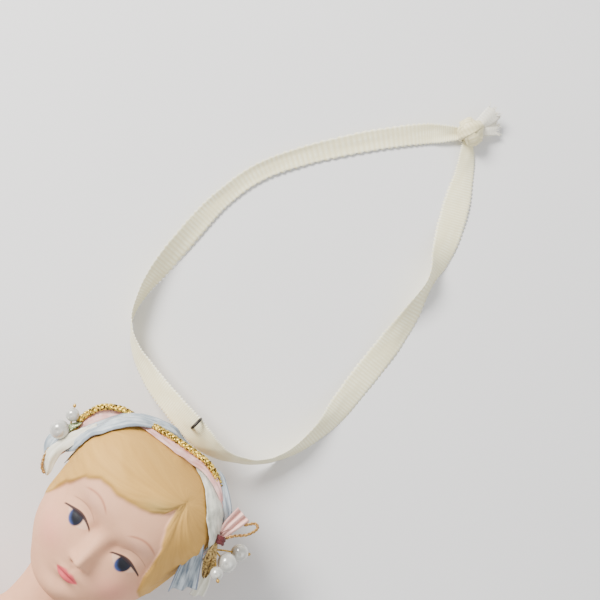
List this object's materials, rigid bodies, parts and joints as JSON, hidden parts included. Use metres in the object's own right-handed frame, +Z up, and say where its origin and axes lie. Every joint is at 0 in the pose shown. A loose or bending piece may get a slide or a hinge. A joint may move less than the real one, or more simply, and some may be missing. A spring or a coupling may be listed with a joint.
{
  "type": "christmas ornament",
  "caption": "Hollow bisque lady's bust ornament with ribbon headband, pearls and a ribbon loop through a crown wire to hang it by, shown lying on its back.",
  "frame": {"origin": "on the table, under the middle of the bust's length from its base to the end of the wire eye", "axes": "+X to the right of the face as one looks at it, +Y from the base of the bust to the crown, +Z up from the table towards the face"},
  "size_m": [0.0797, 0.2222, 0.048],
  "materials": {
    "bisque": "unglazed slip-cast porcelain, painted face and blonde hair",
    "gold_braid": "twisted metallised thread braid, satin gold",
    "clear_glue": "dried clear craft glue",
    "hanging_ribbon": "cream ribbed satin ribbon with picot edges",
    "dark_wire": "dark annealed wire",
    "red_thread": "dark red binding thread",
    "gold_foil": "crinkled metallised film, gold",
    "green_foil": "crinkled metallised film, green-gold",
    "blue_ribbon": "pale blue satin, slightly sheer",
    "cream_ribbon": "cream satin",
    "pink_ribbon": "dusty pink satin",
    "pearl": "pearlised coating over a plastic bead",
    "gold_wire": "fine gilt wire"
  },
  "bodies": {
    "bust": {"band_gold_braid": "gold_braid", "band_ribbon_blue": "blue_ribbon", "band_ribbon_cream": "cream_ribbon", "band_ribbon_pink": "pink_ribbon", "bust_shell": "bisque", "crown_glue": "clear_glue", "hanger_wire": "dark_wire", "left_binding": "red_thread", "left_braid_tail": "gold_braid", "left_foil_leaf": "green_foil", "left_glue_dab": "clear_glue", "left_loop_blue": "blue_ribbon", "left_loop_cream": "cream_ribbon", "left_pearl_large": "pearl", "left_pearl_small": "pearl", "left_stem_large": "gold_wire", "left_stem_small": "gold_wire", "left_tail_pink": "pink_ribbon", "right_binding": "red_thread", "right_braid_tail": "gold_braid", "right_foil_leaf": "gold_foil", "right_glue_dab": "clear_glue", "right_loop_blue": "blue_ribbon", "right_loop_cream": "cream_ribbon", "right_pearl_back": "pearl", "right_pearl_large": "pearl", "right_pearl_small": "pearl", "right_stem_back": "gold_wire", "right_stem_large": "gold_wire", "right_stem_small": "gold_wire", "right_tail_pink": "pink_ribbon"},
    "hanger": {"hanger_ribbon": "hanging_ribbon", "ribbon_knot": "hanging_ribbon", "ribbon_tail_short": "hanging_ribbon", "ribbon_tail_long": "hanging_ribbon"}
  },
  "joints": [
    {"name": "hanger_swing", "type": "hinge", "parent": "bust", "child": "hanger", "pos_m": [-0.0036, 0.045, 0.0172], "axis": [1, 0, 0], "range_deg": [0, 105]}
  ]
}
